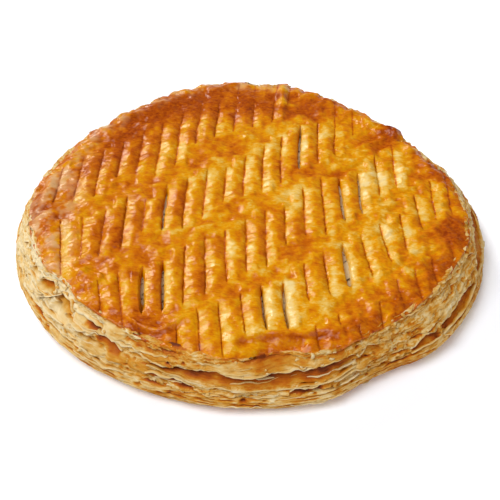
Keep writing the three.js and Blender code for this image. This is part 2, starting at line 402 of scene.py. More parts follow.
filling_profile = [(0, FILLING_BASE), (FILLING_RADIUS - 3, FILLING_BASE),
                   (FILLING_RADIUS, FILLING_BASE + 4)]
for share in np.linspace(1, 0, 60):
    filling_profile.append((FILLING_RADIUS * share, 26))
filling_mesh = turned_body("almond_filling", filling_profile, 260)
filling_points = vertices_of(filling_mesh)
top = filling_points[:, 2] > 20
share = np.hypot(filling_points[:, 0], filling_points[:, 1]) / FILLING_RADIUS
surface = plain_lid(filling_points) - LID_THICKNESS - 5 * share ** 6
surface += 0.35 * swell(filling_points, 3, 31)
filling_points[top, 2] = surface[top]
set_vertices(filling_mesh, filling_points)

almond = bpy.data.materials.new("almond_paste")
almond.use_nodes = True
nodes = almond.node_tree.nodes
links = almond.node_tree.links
paste = nodes["Principled BSDF"]
paste.inputs["Roughness"].default_value = 0.75
place = nodes.new("ShaderNodeTexCoord")
specks = nodes.new("ShaderNodeTexNoise")
specks.inputs["Scale"].default_value = 420
specks.inputs["Detail"].default_value = 3
links.new(place.outputs["Object"], specks.inputs["Vector"])
paste_ramp = nodes.new("ShaderNodeValToRGB")
for position, value in ((0.38, colour(94, 70, 40)), (0.43, colour(222, 202, 160))):
    paste_ramp.color_ramp.elements.new(position).color = value
paste_ramp.color_ramp.elements[0].color = colour(60, 38, 20)
paste_ramp.color_ramp.elements[-1].color = colour(240, 226, 190)
links.new(specks.outputs["Fac"], paste_ramp.inputs["Fac"])
links.new(paste_ramp.outputs["Color"], paste.inputs["Base Color"])
grains = nodes.new("ShaderNodeBump")
grains.inputs["Strength"].default_value = 0.7
grains.inputs["Distance"].default_value = 0.0005
links.new(specks.outputs["Fac"], grains.inputs["Height"])
links.new(grains.outputs["Normal"], paste.inputs["Normal"])
filling_piece = put_on_cake("almond_filling", filling_mesh, almond)
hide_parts("filling")


# ---- The risen side ----
# The thick upper part of the side: the lid's own sheets, sealed to the bottom one and blown
# apart by steam. Pockets open between them, deep under an overhanging edge, brown inside with
# painted shade darkest under that edge, and pale and smooth where an inner sheet lies bare.

# Pockets round the side: the line of the roof and the line of the floor, as (degrees,
# millimetres) with -90 at the near side, then the depth and how dark it is inside, baked brown
# with painted shade.
POCKETS = [
    ([(-169, 21.5), (-167, 24), (-164, 22)], [(-169, 20.5), (-164, 20.5)], 2.0, 0.6),
    ([(-159, 22), (-157, 25.5), (-154, 24.5)], [(-159, 20), (-154, 20)], 4.0, 0.8),
    ([(-153.5, 21), (-152, 25), (-149, 26.5), (-147, 23)], [(-153.5, 18.5), (-147, 18.5)], 4.8, 1.15),
    ([(-152, 17), (-149, 19), (-146.5, 17)], [(-152, 15.5), (-146.5, 15.5)], 2.2, 0.6),
    ([(-146, 21), (-144.5, 25), (-140, 25.5), (-138, 23)], [(-146, 14.5), (-138, 15.5)], 6.6, 0.8),
    ([(-133.6, 25), (-131, 26), (-128, 25)], [(-133.6, 23.4), (-128, 22)], 4.4, 1.3),
    ([(-137.5, 18.6), (-134, 19.6), (-130, 20)], [(-137.5, 16.6), (-130, 17)], 3.3, 1.1),
    ([(-129.5, 22.4), (-127, 22.8), (-124, 21.8), (-121, 19.8)],
     [(-129.5, 19.6), (-126, 18.4), (-121, 17)], 3.3, 1.2),
    ([(-122, 27.5), (-117, 27), (-113, 25.5), (-110, 26)], [(-122, 26), (-110, 24)], 1.8, 0.6),
    ([(-119.5, 22), (-116, 22.5), (-112.5, 20.5)], [(-119.5, 20), (-112.5, 18)], 2.6, 0.65),
    ([(-114, 20), (-110, 20.8), (-106, 21.8), (-103, 22.2), (-100, 22.9), (-97, 23.2), (-95, 22.8),
      (-93, 22), (-90, 21.8), (-84, 22.6), (-80, 22.8), (-77, 22.8), (-75.5, 23.8), (-72.5, 22.8),
      (-70.5, 24), (-67, 24), (-64, 23)],
     [(-114, 18.5), (-106, 17.5), (-99, 15.6), (-90, 14.8), (-75, 14.8), (-70, 15.4), (-64, 17.5)],
     4.8, 0.97),
    ([(-114, 15), (-110, 15.8), (-107, 16), (-105, 15.6), (-102, 14)],
     [(-114, 13), (-102, 11.5)], 2.8, 1.0),
    ([(-98, 13.2), (-93, 14.2), (-89, 13.4)], [(-98, 12.2), (-89, 12.2)], 1.4, 0.4),
    ([(-81, 12.6), (-77, 14), (-72.5, 14)], [(-81, 10.8), (-72.5, 11)], 3.2, 1.3),
    ([(-93, 28.5), (-88, 29.4), (-83, 29), (-79, 28)], [(-93, 27.4), (-79, 27.2)], 1.6, 0.7),
    ([(-62.5, 21), (-60, 24.2), (-56, 22.5)], [(-62.5, 18.5), (-56, 19)], 3.0, 0.6),
    ([(-70, 13.5), (-65, 15), (-61, 14)], [(-70, 12), (-61, 12.2)], 2.4, 0.7),
    ([(-55, 20), (-52, 23.5), (-48.5, 21)], [(-55, 18.5), (-48.5, 19)], 2.0, 0.45),
    ([(-48.5, 12.5), (-46, 14.6), (-44, 15.8), (-41.5, 16.2), (-39, 15)],
     [(-48.5, 11), (-39, 11.2)], 4.6, 1.6),
    ([(-38.3, 14.6), (-33, 15.6), (-28, 16.2), (-23, 16.2), (-19, 14.2)],
     [(-38.3, 11.4), (-28, 11.2), (-19, 12)], 4.6, 1.6),
    ([(-46, 26), (-40, 27.2), (-33, 26.4)], [(-46, 25), (-33, 25)], 1.4, 0.5),
    ([(-25, 22), (-22, 25.5), (-17, 27), (-14, 24)], [(-25, 20), (-14, 20.5)], 2.4, 0.6),
    ([(-16, 15), (-13, 20), (-8, 24.5), (-3, 25), (3, 21.5), (9, 15)],
     [(-16, 13), (-5, 11), (9, 12)], 6.0, 1.8),
    ([(12, 21), (17, 25), (24, 22)], [(12, 17), (24, 17)], 3.0, 0.7),
    ([(28, 15), (35, 18.5), (43, 18), (50, 15)], [(28, 13), (50, 13)], 4.5, 0.95),
    ([(53, 17), (60, 21.5), (68, 20), (77, 16)], [(53, 15), (77, 14)], 4.5, 0.9),
    ([(82, 22), (88, 26), (96, 23)], [(82, 18), (96, 18)], 3.2, 0.7),
    ([(99, 15), (108, 18.5), (118, 19), (126, 15)], [(99, 13), (126, 13)], 5.0, 0.95),
    ([(128, 20), (137, 25), (146, 22), (151, 19)], [(128, 17), (151, 16)], 4.0, 0.8),
    ([(155, 19), (163, 24), (172, 20)], [(155, 17), (172, 17)], 3.4, 0.75),
]
# Smooth rolled folds: where they start and end, their lower and upper edge, and how far they swell.
FOLDS = [
    (-158, -150, 14, 18, 1.2), (-143.5, -137, 14.5, 21, 1.5), (-137.5, -129.5, 20.5, 25, 3.2),
    (-128.5, -121, 24, 29.5, 2.2), (-133, -125, 13.5, 18, 1.4), (-117, -109, 21.5, 25.5, 1.6),
    (-125, -119, 13.5, 18.5, 1.8), (-119, -113, 14, 19, 1.6), (-101, -74, 22, 28.4, 2.4),
    (-88.5, -83.5, 27.6, 30, 1.4), (-73, -66, 25, 28.5, 1.6), (-64, -60, 14.5, 18, 1.8),
    (-47, -28, 18.5, 25, 0.7), (-16, -11, 23, 27, 1.8), (15, 30, 12.5, 16.5, 1.6),
    (55, 80, 22, 28, 2.0), (105, 128, 20, 27, 2.0), (140, 156, 23, 28, 1.6),
]
ROOF_LIFT = 1.0


def roof_of(roof_line, angle, flat):
    """Height of a pocket's ragged top edge."""
    degrees, heights = zip(*roof_line)
    ragged = 0.6 * swell(flat, 6, 41) + 0.35 * swell(flat, 2, 42)
    return np.interp(angle, degrees, heights) + ROOF_LIFT + ragged


def floor_of(floor_line, angle, flat):
    """Height of a pocket's bottom edge."""
    degrees, heights = zip(*floor_line)
    return np.interp(angle, degrees, heights) + 0.5 * swell(flat, 7, 43)


def raise_to(values, where, higher):
    """Lifts part of a pattern to new values where those are higher."""
    values[where] = np.maximum(values[where], higher)


def pockets(angle, height, drum):
    """Depth of the pockets, their brown with painted shade under the roof, the edge over them and the
    one below.
    """
    depth, brown_and_shade, lip, rim = (np.zeros(len(angle)) for _ in range(4))
    for roof_line, floor_line, deep, shade in POCKETS:
        start, end = roof_line[0][0], roof_line[-1][0]
        near = (angle > start) & (angle < end)
        turn = angle[near]
        flat = drum[near] * [1, 1, 0]
        roof = roof_of(roof_line, turn, flat)
        floor = floor_of(floor_line, turn, flat)
        below = roof - height[near]
        down = below / np.maximum(roof - floor, 1)
        ends = smooth(0, min(1.1, (end - start) / 3), np.minimum(turn - start, end - turn))
        scoop = smooth(0, 0.7, below) * np.clip(1 - down, 0, 1) ** 0.7 * ends
        raise_to(depth, near, deep * scoop)
        # The brown is deepest right under the roof and fades towards the floor: painted shade of the
        # overhang over the pockets' baked colour.
        faded = down + 0.3 * swell(drum[near], 5, 44)
        shadow = smooth(0, 0.3, below) * (1 - smooth(shade - 0.5, shade + 0.05, faded)) * ends
        under_roof = 0.6 * ridge(below, 0, 0.8 + 0.75 * deep)
        shadow = shadow * (0.5 + under_roof + 0.2 * swell(drum[near], 4, 45))
        raise_to(brown_and_shade, near, min(shade, 1) * shadow)
        fold = ends * smooth(-0.2, 0.3, -below) * (1 - smooth(0.8, 3.2, -below))
        raise_to(lip, near, fold * min(1, deep / 3))
        edge = ends * ridge(height[near], floor, 0.45)
        raise_to(rim, near, edge * min(1, deep / 4))
    return depth, brown_and_shade, lip * (1 - smooth(0.2, 1.5, depth)), rim


def folds(angle, height, drum):
    """Swell of the smooth rolled folds."""
    bulge = np.zeros(len(angle))
    for start, end, low, high, out in FOLDS:
        lie = height + 0.9 * swell(drum * [1, 1, 0], 9, 47)
        across = (lie - low) / (high - low) * 2 - 1
        along = (angle - start) / (end - start) * 2 - 1
        round_off = np.clip(1 - across ** 2, 0, 1) ** 0.5 * np.clip(1 - along ** 4, 0, 1)
        bulge = np.maximum(bulge, out * round_off)
    return bulge


SIDE_LOW = 9.5
SIDE_HIGH = 30.2
SIDE_ROWS = 66


def risen_side(angle, height, drum):
    """Radius of the risen side, how toasted it is with painted shade in its gaps and pockets, how
    flaky it is, and how far edges droop.
    """
    out, gap = parted_sheets(drum, height, thickness=2.3, reach=0.9, warp=2.0, seed=51)
    leaf, leaf_gap = parted_sheets(drum, height, thickness=0.85, reach=0.38, warp=1.2, seed=151)
    # Sheets broke away in flakes and left terraces with ragged edges.
    squat = drum * [0.75, 0.75, 2]
    peel = 3 * swell(squat, 13, 251) + 1.8 * swell(squat, 5, 252) + 0.9 * swell(squat, 2, 253)
    terrace = np.floor(peel)
    peel_share = peel - terrace
    at_left = stretch(angle, -180, -120, 8)
    flake = (0.5 - 0.25 * at_left) * (terrace + smooth(0, 0.25, peel_share))
    # Pockets and folds are smooth. Right under the lid the sheets are crumbly.
    depth, brown_and_shade, lip, rim = pockets(angle, height, drum)
    fold = folds(angle, height, drum)
    smoothness = np.maximum(smooth(0.3, 2, depth), 0.85 * smooth(0.2, 1, fold))
    calm = 1 - smoothness
    crumbly = smooth(25.5, 27.5, height)
    worn = 0.25 - 0.18 * at_left
    grain = (0.35 + 0.45 * crumbly) * swell(drum * [0.5, 0.5, 1.1], 1.9, 56)
    leaf = leaf * (1 + 0.9 * crumbly * at_left - 0.4 * (1 - crumbly) * at_left)
    layers = (out + leaf + flake + grain) * (calm + (1 - calm) * worn)
    radius = plain_side(angle, height) - 0.9 + layers
    radius += 0.5 * lip + 0.5 * rim + 0.8 * fold - 0.62 * depth
    radius += smoothness * (0.35 * swell(drum * [1, 1, 0.4], 4, 57) + 0.16 * swell(drum, 1.6, 59))
    # At the left the bare skin is crumpled, in round cushions with creases between them.
    crumple = 0.35 - np.abs(swell(drum * [0.8, 0.8, 1.2], 5.5, 65))
    crumple -= 0.5 * np.abs(swell(drum, 2.4, 66))
    radius += 0.9 * crumple * at_left * (1 - 0.6 * crumbly)
    # It is darker in the gaps and pockets, painted shade over the baked colour, toasted on the folds,
    # darker at the near side and paler at the left.
    faint = 1 - 0.5 * at_left
    toast_and_painted_light = 0.26 + (0.55 * gap + 0.25 * leaf_gap) * calm * faint + 0.68 * brown_and_shade - 0.14 * rim
    on_fold = 0.2 * smooth(0, 1, fold) * (0.3 + swell(drum * [1, 1, 1.5], 7, 63))
    toast_and_painted_light += on_fold * (1 - brown_and_shade) * faint
    # Painted shade in the recess beside each terrace edge; the edge itself is paler.
    edges = 0.22 * smooth(0.8, 1, peel_share) - 0.1 * (1 - smooth(0.15, 0.4, peel_share))
    toast_and_painted_light += calm * faint * (edges + 0.12 * swell(squat, 2.4, 62))
    toast_and_painted_light += 0.14 * swell(drum, 10, 61) - 0.1 * lip
    toast_and_painted_light += 0.09 * stretch(angle, -118, -48, 8) - 0.19 * stretch(angle, -180, -128, 12)
    # At the left the fine creases of the crumbly band under the lid get painted shade.
    toast_and_painted_light += (0.12 + 0.3 * crumbly) * leaf_gap * calm * at_left
    return radius, toast_and_painted_light, 1 - (0.3 + 0.35 * at_left) * (1 - calm), 0.5 * lip


# The foot of the risen side is pinched in over the bottom sheet.
side_profile = [(0, SIDE_LOW), *plain_edge(SIDE_LOW, SIDE_HIGH, SIDE_ROWS), (110, SIDE_HIGH - 5),
                (0, SIDE_HIGH - 5)]
side_mesh = turned_body("risen_side", side_profile, AROUND)
side_points = vertices_of(side_mesh)
outer = np.hypot(side_points[:, 0], side_points[:, 1]) > 120
angle, height, drum = on_side(side_points[outer])
radius, side_toast_and_painted_light, side_flaky, droop = risen_side(angle, height, drum)
radius -= 9 * (1 - smooth(SIDE_LOW, SIDE_LOW + 1.8, height - 0.8 * swell(drum, 12, 58) - 0.4))
set_radius(side_points, outer, angle, radius)
side_points[outer, 2] -= droop
toast_and_painted_light = np.full(len(side_points), 0.3)
toast_and_painted_light[outer] = side_toast_and_painted_light
flaky = np.ones(len(side_points))
flaky[outer] = side_flaky
set_vertices(side_mesh, side_points)
add_value(side_mesh, "toast_and_painted_light", toast_and_painted_light)
add_value(side_mesh, "flaky", flaky)
put_on_cake("risen_side", side_mesh, side_dough)


# ---- The torn edges of the sheets ----
# Single sheets of dough, a third of a millimetre thick, that came away from the side as it rose.
# Most run level round the cake, ragged and a little drooping. They hang over the pockets, and at
# the left some curl up out of the side.

SHEET_THICKNESS = 0.32
SHEET_ROOT = 2.5
sheets = bmesh.new()
sheet_toast = sheets.verts.layers.float.new("toast_and_painted_light")


def torn_sheet(start, end, height_at, reach, droop, shade, seed, wall):
    """Adds one strip along the side. height_at gives its height; wall, the side it grows from."""
    length = math.radians(end - start) * DRUM_RADIUS
    steps = max(5, int(length / 0.9))
    made = bmesh.ops.create_grid(sheets, x_segments=steps, y_segments=3, size=1)["verts"]
    grid = np.array([vertex.co for vertex in made])
    along = (grid[:, 0] + 1) / 2
    outward = (grid[:, 1] + 1) / 2
    angle = start + (end - start) * along
    ring = on_drum(angle, np.full(len(angle), seed * 3.1))
    height = height_at(angle, ring * [1, 1, 0])
    ragged = 0.65 + 0.75 * swell(ring, 7, 91) + 0.5 * swell(ring, 1.8, 92)
    edge = reach * np.clip(ragged, 0, 1.4) * np.clip(np.sin(np.pi * along), 0, 1) ** 0.5
    root = wall(angle, height, on_drum(angle, height))
    radius = root - SHEET_ROOT + (SHEET_ROOT + edge) * outward
    height = height - droop * outward ** 2 + 0.6 * swell(ring, 5, 93) * outward
    toast_and_painted_light = shade + 0.35 * (1 - outward) + 0.12 * swell(ring, 6, 94) - 0.1 * outward
    for vertex, r, turn, z, baked in zip(made, radius, np.radians(angle), height, toast_and_painted_light):
        vertex.co = (r * math.cos(turn), r * math.sin(turn), z)
        vertex[sheet_toast] = baked


def wall_of_side(angle, height, drum):
    return risen_side(angle, height, drum)[0]


def wall_of_base(angle, height, drum):
    return base_side(angle, height, drum)[0]


def wall_over_pocket(angle, height, drum):
    return plain_side(angle, height) + 0.8 * folds(angle, height, drum) - 0.2


# A sheet hangs over each pocket that isn't shallow, and a deep one has a ragged floor too.
for number, (roof_line, floor_line, deep, _) in enumerate(POCKETS):
    if deep < 2.3:
        continue

    def roof_height(angle, ring):
        return roof_of(roof_line, angle, ring) + 0.3

    def floor_height(angle, ring):
        return floor_of(floor_line, angle, ring)

    start, end = roof_line[0][0], roof_line[-1][0]
    torn_sheet(start, end, roof_height, reach=1.1, droop=0.6, shade=0.22,
               seed=number, wall=wall_over_pocket)
    if deep >= 3.4:
        torn_sheet(start, end, floor_height, reach=0.5, droop=-0.4, shade=0.26,
                   seed=300 + number, wall=wall_over_pocket)

# Loose edges all round, on the risen side and then on the bottom sheet.
chance = np.random.default_rng(7)
for number in range(90):
    middle = chance.uniform(-180, 180)
    half = chance.uniform(1.5, 7)
    level = chance.uniform(10.5, 29.5)
    slope = chance.uniform(-0.25, 0.25)

    def sheet_height(angle, ring):
        return level + slope * (angle - middle) + 0.9 * swell(ring, 12, 95)

    torn_sheet(middle - half, middle + half, sheet_height, reach=chance.uniform(0.6, 1.6),
               droop=chance.uniform(-0.6, 1.0), shade=chance.uniform(0.12, 0.38),
               seed=40 + number, wall=wall_of_side)
for number in range(70):
    middle = chance.uniform(-180, 180)
    half = chance.uniform(1.5, 6)
    level = chance.uniform(2, 12.5)

    def leaf_height(angle, ring):
        return level + 0.5 * swell(ring, 15, 96)

    torn_sheet(middle - half, middle + half, leaf_height, reach=chance.uniform(0.4, 1.0),
               droop=chance.uniform(-0.3, 0.4), shade=chance.uniform(0.1, 0.35),
               seed=200 + number, wall=wall_of_base)

# Sheets that broke off short and stand out: start and end in degrees, height at the start, climb
# for each degree, reach, droop (less than 0 curls up) and how baked.
STANDING = [
    (-38, -33.5, 9.5, 0, 2.6, -0.6, 0.3), (-7, -1, 12, 0, 1.6, 0.6, 0.2),
    (-139.5, -128.5, 20.6, 0, 3.4, -1.8, 0.16), (-148, -144, 21, 0, 2.0, -1.2, 0.1),
    (-127, -119, 23.6, 0, 1.5, 0.4, 0.1), (-156, -150, 17.5, 0, 1.4, -0.6, 0.15),
    (-137.5, -131.5, 26.4, 0, 2.8, 1.0, 0.06), (-151, -144.5, 15, 1.5, 1.5, -0.5, 0.0),
    (-149, -139, 14.5, 0.1, 1.7, -1.2, 0.0), (-136.2, -129.6, 17.4, 0.5, 2.0, -1.4, 0.0),
]
for number, (start, end, level, climb, reach, droop, shade) in enumerate(STANDING):
    def standing_height(angle, ring):
        return level + climb * (angle - start) + 0.4 * swell(ring, 3, 97)

    wall = wall_of_base if level < BASE_HEIGHT else wall_over_pocket
    torn_sheet(start, end, standing_height, reach, droop, shade, 400 + number, wall)

# Small flakes that still cling to the side, but not inside a pocket.
FLAKES = 420
flake_angle = chance.uniform(-180, 180, FLAKES)
flake_height = 30 - 19 * chance.uniform(0, 1, FLAKES) ** 1.5
flake_place = on_drum(flake_angle, flake_height)
in_pocket = pockets(flake_angle, flake_height, flake_place)[0]
flake_wall = risen_side(flake_angle, flake_height, flake_place)[0]
for a, level, deep, wall in zip(np.radians(flake_angle), flake_height, in_pocket, flake_wall):
    size = chance.uniform(0.5, 1.6)
    tilt = chance.uniform(0, 0.9)
    spin = chance.uniform(0, math.tau)
    flatness = chance.uniform(0.35, 0.8)
    baked = chance.uniform(0.08, 0.4)
    if deep > 0.6:
        continue
    made = bmesh.ops.create_circle(sheets, cap_ends=True, cap_tris=True, segments=7, radius=1)["verts"]
    for vertex in made:
        turn = math.atan2(vertex.co.y, vertex.co.x)
        uneven = 1 + 0.35 * math.sin(2 * turn + spin) + 0.25 * math.sin(3 * turn)
        spread = size * vertex.co.xy.length * uneven
        along = spread * math.cos(turn + spin)
        upward = spread * math.sin(turn + spin) * flatness
        r = wall + 0.1 + tilt * (size * flatness - upward) + 0.15 * along * along / size
        bearing = a + along / DRUM_RADIUS
        vertex.co = (r * math.cos(bearing), r * math.sin(bearing), level + upward)
        vertex[sheet_toast] = baked

bmesh.ops.recalc_face_normals(sheets, faces=sheets.faces)
bmesh.ops.solidify(sheets, geom=sheets.faces[:], thickness=SHEET_THICKNESS)
sheet_mesh = mesh_of("torn_sheets", sheets)
set_vertices(sheet_mesh, vertices_of(sheet_mesh))
add_value(sheet_mesh, "flaky", 0.5)
put_on_cake("torn_sheets", sheet_mesh, side_dough)


# ---- The lid ----
# The domed top round, brushed with egg and scored with a knife in rows of short parallel cuts.
# Between two cuts the dough rises to a rounded finger. The egg bakes to a gold glaze, amber
# where it pooled between the rows and chestnut brown at the rim.

# Rows of cuts, from the far left to the near right: the place of the first one, going right, the
# step to the next, and how far back each one starts and stops, in millimetres.
CUT_ROWS = [
    (-111.1, 11.2, [30, 38, 46, 54, 65, 74, 86, 100, 110, 120, 124],
     [-5, -4, 0, 17, 20, 18, 29, 49, 58, 64, 69]),
    (-103.0, 10.95, [-19, -18, -11, 0, -3, 10, 17, 25, 27, 39, 50, 60, 73, 78, 101, 90],
     [-65, -51, -51, -44, -32, -31, -29, -18, -5, 0, 5, 13, 27, 34, 42, 64]),
    (-77.5, 10.75, [-70, -63, -58, -54, -43, -35, -30, -19, -11, -8, 10, 20, 20, 27, 43, 57],
     [-92, -101, -92, -91, -87, -79, -71, -64, -58, -40, -35, -31, -19, -11, 5, 12]),
    (-36.1, 10.95, [-99, -89, -85, -78, -72, -69, -55, -44, -37, -30, -20, -11],
     [-120, -119, -119, -106, -103, -102, -83, -79, -72, -62, -51, -43]),
    (94.2, 9.5, [9, 23, 33], [-22, -12, -5]),
    (35.1, 10.9, [-99, -91, -97, -80, -63, -54], [-114, -99, -108, -96, -78, -80]),
    (99.0, 11.0, [-44, -29], [-64, -50]),
    (13.7, 9.5, [125, 127, 121], [75, 95, 110]),
]
# Cuts that gaped open, by row and place: half the gap's width in millimetres.
OPEN_CUTS = {(1, 5): 0.4, (1, 12): 0.7, (2, 2): 1.3, (2, 3): 0.95, (2, 12): 0.7, (2, 13): 0.4,
             (3, 4): 0.6, (3, 5): 0.95, (3, 8): 1.4}
OPEN_DEPTH = 7
# Cuts that lean more to the left than their neighbours, by row and place, and the whole first row.
EXTRA_LEAN = {(1, 0): 0.14, (1, 1): 0.08, (2, 0): 0.11, (2, 1): 0.1, (3, 9): 0.06, (3, 10): 0.07}
FIRST_ROW_LEAN = 0.05
FINGER_PITCH = 10.9
FINGER_RISE = 1.7
# The share of a finger's width that slopes down to the cut at its left.
LEFT_FLANK = 0.56
# The furthest that a cut strays sideways.
CUT_STRAYS = 24


def list_cuts():
    """Each cut as its place going right, its far and near end, its lean and half its gap."""
    cuts = []
    for row, (first, step, starts, stops) in enumerate(CUT_ROWS):
        for place, (far, near) in enumerate(zip(starts, stops)):
            across = first + place * step
            lean = 0.001 * ((far + near) / 2 - 0.6 * across) - EXTRA_LEAN.get((row, place), 0)
            lean -= 0 if row else FIRST_ROW_LEAN
            cuts.append((across, far, near, lean, OPEN_CUTS.get((row, place), 0)))
    return cuts


cuts = list_cuts()


def beside_cut(points, cut):
    """How far right of a cut's line each point lies. The cuts follow the swell of the dome."""
    across, far, near, lean, _ = cut
    run = points[:, 1] - (far + near) / 2
    wobble = 0.5 * swell(points * [1, 1, 0], 17, 74) + 0.2 * swell(points * [1, 1, 0], 5, 75)
    return points[:, 0] + wobble - across - lean * run - 0.0004 * run ** 2


def read_cuts(points):
    """The pattern of cuts at each point of the lid, from 0 to 1, and the finger it lies on."""
    marks = {name: np.zeros(len(points)) for name in ("groove", "slit", "gape", "scored", "pale")}
    marks["across"] = np.full(len(points), 0.5)
    finger = np.zeros(len(points), int)
    for number, cut in enumerate(cuts):
        across, far, near, _, gap = cut
        close = np.abs(points[:, 0] - across) < CUT_STRAYS
        close &= (points[:, 1] > near - 6) & (points[:, 1] < far + 6)
        here = points[close]
        aside = beside_cut(here, cut)
        along = stretch(here[:, 1], near, far, 2.6)
        flank = np.where(aside > 0, LEFT_FLANK, 1 - LEFT_FLANK) * FINGER_PITCH
        away = np.clip(np.abs(aside) / flank, 0, 1)
        groove = (1 - away) ** np.where(aside > 0, 1.6, 2.1)
        groove *= stretch(here[:, 1], near + 2, far - 2, 4) * (1.25 if gap else 1)
        raise_to(marks["groove"], close, groove)
        scored = along * (1 - smooth(0.8, 1.2, np.abs(aside) / FINGER_PITCH / 0.6))
        raise_to(marks["scored"], close, scored)
        slit = (1 - smooth(0.05, 0.4, np.abs(aside))) * stretch(here[:, 1], near + 0.5, far - 0.5, 1.5)
        raise_to(marks["slit"], close, slit)
        right = (aside > 0) & (aside < FINGER_PITCH) & (along > 0.3)
        on_finger = np.flatnonzero(close)[right]
        finger[on_finger] = number + 1
        marks["across"][on_finger] = aside[right] / FINGER_PITCH
        if gap:
            share = np.clip((here[:, 1] - near) / (far - near), 0, 1)
            lens = gap * np.sin(np.pi * share) ** 0.6 * (1 + 0.25 * swell(here, 5, 101))
            gape = 1 - smooth(lens - 0.3, lens + 0.2, np.abs(aside))
            gape *= stretch(here[:, 1], near + 2.5, far - 2.5, 2)
            raise_to(marks["gape"], close, gape)
            worn = gap + 2.8 + 1.4 * swell(here, 4, 97)
            pale = (aside > 0) * (1 - smooth(worn - 2.4, worn + 1.8, aside)) * along
            raise_to(marks["pale"], close, pale)
    return marks, finger


# Swellings of the lid: middle, half widths and rise, in millimetres.
SWELLINGS = [
    (19, 106, 5.5, 24, 3.2), (46, 98, 12, 14, 1.3), (70, 84, 10, 12, 1.6),
    (87, 70, 7, 8, 3.0), (15, -106, 16, 5, 1.8), (-84, -67, 9, 6, 1.8),
]

# Places that took more or less colour in the oven: middle, radius and change.
TONES = [
    (19, 112, 8, -0.3), (19, 97, 8, -0.28), (11.5, 106, 5, 0.25), (26, 108, 5, 0.25),
    (-3, 94, 9, 0.2), (-18, 98, 36, 0.15), (88, 76, 11, 0.3), (84, 68, 9, 0.25),
    (78, 60, 15, 0.2), (111, 30, 22, 0.14), (-60, 82, 26, 0.14), (62, -92, 24, 0.16),
    (110, -22, 20, 0.16), (-104, -20, 18, 0.1), (20, -88, 16, -0.06), (57, -100, 12, 0.16),
    (38, -105, 9, 0.12), (106, -50, 13, 0.14), (-2, -112, 30, -0.1), (-106, 6, 30, -0.07),
]

LID_ACROSS = 400
LID_ALONG = 225
LID_CELL = 241 / LID_ACROSS
LID_TOP = 37.6
# The edge is turned down in steps, each this far out and this far down: a rounded lip, then a
# skirt that goes into the cake.
LIP = [(0, 0), (0.55, 0.55), (0.55, 1.3), (-0.3, 2.0), (-3, 2.4), (-8, 14)]

lid = bmesh.new()
bmesh.ops.create_grid(lid, x_segments=LID_ACROSS, y_segments=LID_ALONG, size=1)
rim = [edge for edge in lid.edges if edge.is_boundary]
for _ in LIP[1:]:
    turned = bmesh.ops.extrude_edge_only(lid, edges=rim)["geom"]
    rim = [part for part in turned if isinstance(part, bmesh.types.BMEdge) and part.is_boundary]
    fresh = [part for part in turned if isinstance(part, bmesh.types.BMVert)]
    bmesh.ops.translate(lid, verts=fresh, vec=(0, 0, -1))
bmesh.ops.holes_fill(lid, edges=rim, sides=0)
bmesh.ops.recalc_face_normals(lid, faces=lid.faces)
lid_mesh = mesh_of("glazed_lid", lid)

# The square sheet is drawn out to a round.
square = vertices_of(lid_mesh)
turn_down = np.round(-square[:, 2]).astype(int)
disc_x = square[:, 0] * np.sqrt(1 - square[:, 1] ** 2 / 2)
disc_y = square[:, 1] * np.sqrt(1 - square[:, 0] ** 2 / 2)
bearing = np.arctan2(disc_y, disc_x)
edge_radius = crust_outline(np.degrees(bearing))
lid_points = np.stack([disc_x * edge_radius, disc_y * edge_radius, np.zeros(len(square))], axis=1)
x, y = lid_points[:, 0], lid_points[:, 1]

# The mesh is drawn to the cuts, so that each one is a clean line.
inner = np.abs(square).max(axis=1) < 1
for cut in cuts:
    across, far, near, _, _ = cut
    close = inner & (np.abs(x - across) < CUT_STRAYS) & (y > near) & (y < far)
    aside = beside_cut(lid_points[close], cut)
    lid_points[close, 0] -= aside * (1 - smooth(0.3, 1.5, np.abs(aside) / LID_CELL))

# The fingers, each a little higher or lower, fade out at the rim, most of all at the far side.
marks, finger = read_cuts(lid_points)
out = np.clip(np.hypot(x, y) / edge_radius, 0, 1)
chance = np.random.default_rng(17)
lift = chance.uniform(-0.45, 0.45, len(cuts) + 1)
shade = chance.uniform(-0.06, 0.06, len(cuts) + 1)
at_back = smooth(0, 60, y)
rim_fade = 1 - (0.3 + 0.55 * at_back) * smooth(0.78 - 0.14 * at_back, 0.92 - 0.1 * at_back, out)
height = plain_lid(lid_points) + (0.5 + lift[finger]) * marks["scored"] * rim_fade
height -= FINGER_RISE * marks["groove"] * rim_fade
for top_x, top_y, half_x, half_y, rise in SWELLINGS:
    away = np.hypot((x - top_x) / half_x, (y - top_y) / half_y)
    height += rise * (1 - smooth(0, 1, away))
flat = lid_points * [1, 1, 0]
height += 0.5 * swell(flat, 15, 71) + 0.35 * swell(flat, 6, 72)
# At the near side the lid's edge hangs lower, below a short steep face.
over_step = stretch(x, -4, 42, 5)
step_line = -108 + 0.1 * x + 1.5 * swell(flat, 9, 99)
height -= 2.6 * over_step * (1 - smooth(-1.2, 1.2, y - step_line))
# The skin lies in folds along the bands between the rows, and in wrinkles across the fingers.
band_lines = np.stack([(x + 0.6 * y) / 1.3, y - 0.6 * x, np.zeros(len(x))], axis=1)
cross_lines = flat * [0.45, 1, 0]
unscored = 1 - marks["scored"]
folded = swell(band_lines, 6, 73)
fine_folds = swell(band_lines, 2.6, 79)
height += unscored * (0.7 * folded + 0.5 * swell(flat, 7.5, 98) + 0.24 * fine_folds)
height += 0.18 * swell(cross_lines, 2.1, 76) - 0.9 * np.abs(swell(cross_lines, 3.4, 103))
crinkled = np.maximum(smooth(30, 65, x), 0.7 * smooth(80, 105, -x))
height -= (0.4 + crinkled) * np.abs(swell(band_lines * [0.5, 1, 0], 3.6, 107))
